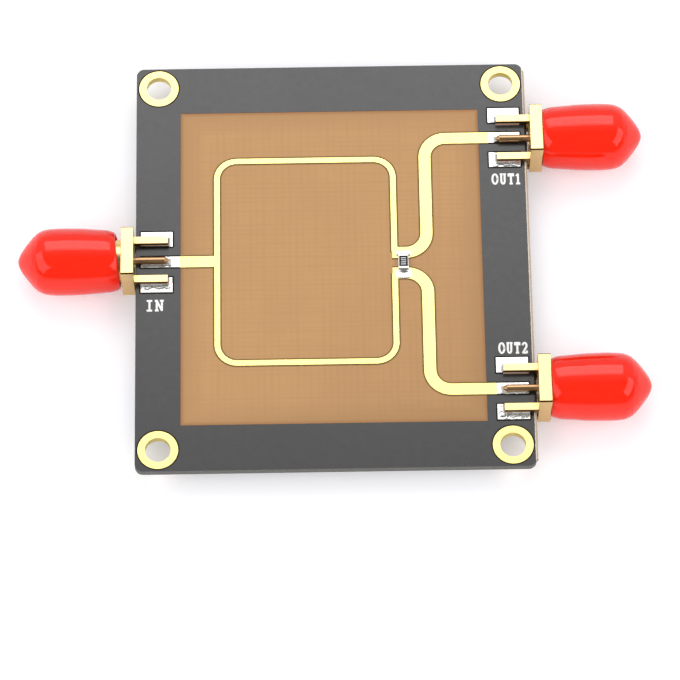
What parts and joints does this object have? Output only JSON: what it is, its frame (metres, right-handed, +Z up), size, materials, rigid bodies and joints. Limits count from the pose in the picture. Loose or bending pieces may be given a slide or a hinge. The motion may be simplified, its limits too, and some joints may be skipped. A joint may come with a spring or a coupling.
{
  "type": "rf power splitter",
  "caption": "Flat board that splits a radio-frequency signal between threaded coaxial outputs, with capped jacks and corner mounting holes.",
  "frame": {"origin": "centre of the part's box, on the surface that its three dust caps rest on", "axes": "+X from the input jack towards the two output jacks, +Y along the board's edge towards output 1, +Z up out of the track side"},
  "size_m": [0.0786, 0.0554, 0.0084],
  "materials": {
    "laminate": "matte woven glass laminate, tan",
    "copper": "bare copper under the mask",
    "solder_mask": "semi-gloss black solder mask",
    "gold_plated_copper": "immersion gold, satin",
    "alumina": "white alumina",
    "tin": "bright solder",
    "resistor_glass": "black glass overcoat",
    "gold_plated_brass": "bright gold plate on turned brass",
    "ptfe": "waxy white PTFE",
    "gold_plated_contact": "gold plate on beryllium copper",
    "red_vinyl": "glossy dipped red vinyl"
  },
  "bodies": {
    "board_assembly": {"laminate_board": "laminate", "ground_plane": "copper", "top_solder_mask": "solder_mask", "bottom_solder_mask": "solder_mask", "hole_plating": "gold_plated_copper", "divider_track": "gold_plated_copper", "ground_pads": "gold_plated_copper", "resistor_body": "alumina", "resistor_terminals": "tin", "resistor_overcoat": "resistor_glass", "resistor_solder": "tin", "connector_shell_in": "gold_plated_brass", "insulator_in": "ptfe", "centre_contact_in": "gold_plated_contact", "port_solder_in": "tin", "connector_shell_out1": "gold_plated_brass", "insulator_out1": "ptfe", "centre_contact_out1": "gold_plated_contact", "port_solder_out1": "tin", "connector_shell_out2": "gold_plated_brass", "insulator_out2": "ptfe", "centre_contact_out2": "gold_plated_contact", "port_solder_out2": "tin"},
    "cap_in": {"dust_cap_in": "red_vinyl"},
    "cap_out1": {"dust_cap_out1": "red_vinyl"},
    "cap_out2": {"dust_cap_out2": "red_vinyl"}
  },
  "joints": [
    {"name": "cap_in_pull", "type": "slide", "parent": "board_assembly", "child": "cap_in", "axis": [-1, 0, 0], "range_m": [0, 0.012]},
    {"name": "cap_out1_pull", "type": "slide", "parent": "board_assembly", "child": "cap_out1", "axis": [1, 0, 0], "range_m": [0, 0.012]},
    {"name": "cap_out2_pull", "type": "slide", "parent": "board_assembly", "child": "cap_out2", "axis": [1, 0, 0], "range_m": [0, 0.012]}
  ]
}
